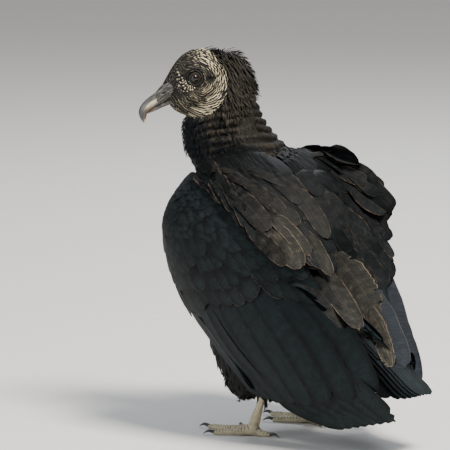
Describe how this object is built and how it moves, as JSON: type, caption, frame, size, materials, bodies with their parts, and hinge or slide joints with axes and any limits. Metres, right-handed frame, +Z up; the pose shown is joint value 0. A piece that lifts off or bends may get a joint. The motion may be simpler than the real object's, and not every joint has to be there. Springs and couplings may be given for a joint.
{
  "type": "black vulture model",
  "caption": "Life-size still model of a standing black vulture with its head turned, bare wrinkled head, hooked bill and folded wings.",
  "frame": {"origin": "middle of the underside of the bounding box, on the floor that the soles stand on", "axes": "+Z up, the breast faces -Y, the bird's left side is towards +X; the head is turned about 50 degrees to its left, towards +X"},
  "size_m": [0.2354, 0.3614, 0.4402],
  "materials": {
    "skin": "bare, wrinkled, dull skin with paler ridges",
    "plumage": "soft black contour feathers",
    "flight": "stiff black feathers with a faint blue sheen",
    "weathered": "worn brownish-black feathers with paler edges",
    "horn": "smooth horn, dark at the root and ivory at the hook",
    "iris": "wet, glossy dark brown eye",
    "shank": "scaly greyish-white leg skin",
    "claw": "dull dark horn"
  },
  "bodies": {
    "root": {"head": "skin", "bill_upper": "horn", "bill_lower": "horn", "eye_left": "iris", "eye_right": "iris", "neck": "plumage", "trunk": "plumage", "tail": "flight", "claw_left_hallux": "claw", "claw_left_inner": "claw", "claw_left_middle": "claw", "claw_left_outer": "claw", "claw_right_hallux": "claw", "claw_right_inner": "claw", "claw_right_middle": "claw", "claw_right_outer": "claw", "foot_left": "shank", "foot_right": "shank", "scapulars_left": "weathered", "scapulars_right": "weathered", "tarsus_left": "shank", "tarsus_right": "shank", "tertials_left": "weathered", "tertials_right": "weathered", "thigh_left": "plumage", "thigh_right": "plumage", "wing_left_coverts": "plumage", "wing_left_primaries": "flight", "wing_left_secondaries": "flight", "wing_right_coverts": "plumage", "wing_right_primaries": "flight", "wing_right_secondaries": "flight"}
  },
  "joints": []
}
